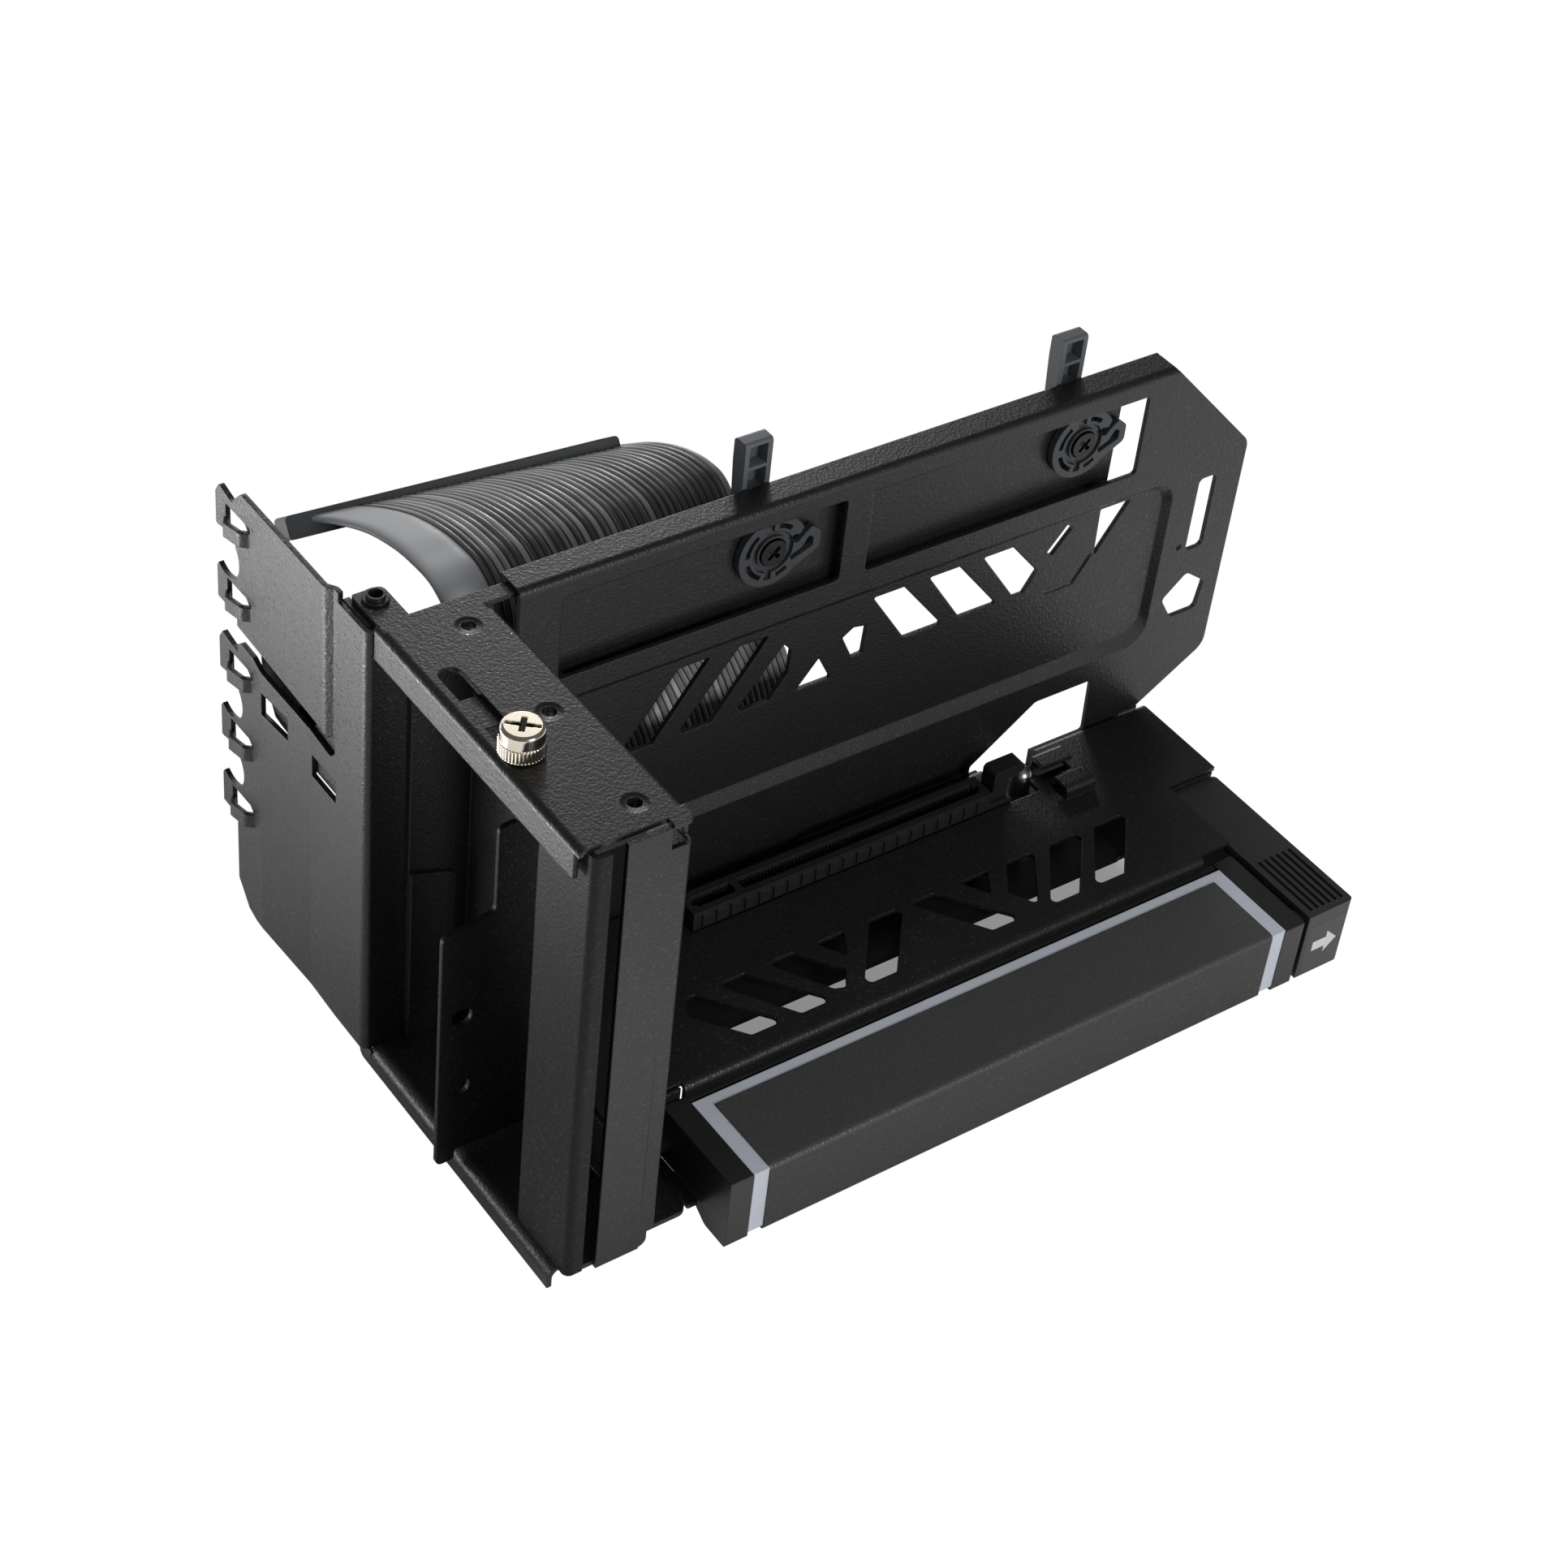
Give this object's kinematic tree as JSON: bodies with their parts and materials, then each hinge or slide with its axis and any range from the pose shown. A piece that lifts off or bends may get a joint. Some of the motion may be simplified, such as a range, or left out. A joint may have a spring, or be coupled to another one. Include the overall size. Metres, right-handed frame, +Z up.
{
  "type": "vertical gpu mount",
  "caption": "Steel bracket that stands a graphics card upright in a computer case, with slot hooks, a sliding card clamp, a riser socket on a ribbon cable, swivel clips and a light bar.",
  "frame": {"origin": "root of the middle slot hook on the bracket's outer face", "axes": "+X along the back wall away from the slot bracket, +Y towards the hooks, +Z up"},
  "size_m": [0.2485, 0.1592, 0.1422],
  "materials": {
    "black_steel": "fine textured black powder coat",
    "nickel": "bright nickel",
    "zinc": "zinc plated",
    "clip_grey": "moulded grey",
    "black_screw": "black oxide",
    "socket_black": "satin black moulding",
    "contact_gold": "gold plated",
    "board_black": "black solder mask",
    "cable_black": "ribbed black sleeve",
    "cable_grey": "smooth grey sleeve",
    "plug_grey": "dark blue grey moulding",
    "bar_black": "satin black moulding",
    "cover_black": "textured black",
    "diffuser": "milky grey translucent",
    "led_white": "white chip"
  },
  "bodies": {
    "mount": {"slot_bracket": "black_steel", "end_frame": "black_steel", "rear_gusset": "black_steel", "front_cheek": "black_steel", "front_rail": "black_steel", "back_wall": "black_steel", "clip_plate": "black_steel", "base_plate": "black_steel", "ear_bush": "black_steel", "thread_collars": "black_steel", "wall_rivets": "black_steel", "sill_rivets": "black_steel", "plate_spacers": "black_steel", "board_screws": "zinc", "standoffs": "zinc", "riser_socket": "socket_black", "socket_contacts": "contact_gold", "riser_board": "board_black", "plug_board": "board_black", "led_strip": "board_black", "riser_ribbon": "cable_black", "cable_bar": "cable_black", "ribbon_margin": "cable_grey", "plug_housing": "plug_grey", "bar_housing": "bar_black", "end_block_left": "bar_black", "end_block_right": "bar_black", "slider_guide": "bar_black", "light_cover": "cover_black", "light_diffuser": "diffuser", "led_chips": "led_white"},
    "clamp": {"card_clamp": "black_steel", "thumb_screw": "nickel", "clamp_nut": "zinc"},
    "clip_left": {"lever_left": "clip_grey", "peg_left": "clip_grey", "clip_screw_left": "black_screw"},
    "clip_right": {"lever_right": "clip_grey", "peg_right": "clip_grey", "clip_screw_right": "black_screw"},
    "latch": {"socket_latch": "socket_black"},
    "release": {"release_slider": "bar_black"}
  },
  "joints": [
    {"name": "clamp_slide", "type": "slide", "parent": "mount", "child": "clamp", "axis": [0, 1, 0], "range_m": [0, 0.025]},
    {"name": "clip_left_turn", "type": "hinge", "parent": "mount", "child": "clip_left", "pos_m": [0.1005, -0.0575, 0.03044], "axis": [0, 1, 0], "range_deg": [0, 90]},
    {"name": "clip_right_turn", "type": "hinge", "parent": "mount", "child": "clip_right", "pos_m": [0.1901, -0.0575, 0.03044], "axis": [0, 1, 0], "range_deg": [0, 90]},
    {"name": "latch_turn", "type": "hinge", "parent": "mount", "child": "latch", "pos_m": [0.1697, -0.071, -0.06436], "axis": [0, 1, 0], "range_deg": [0, 35]},
    {"name": "release_slide", "type": "slide", "parent": "mount", "child": "release", "axis": [1, 0, 0], "range_m": [0, 0.008]}
  ]
}
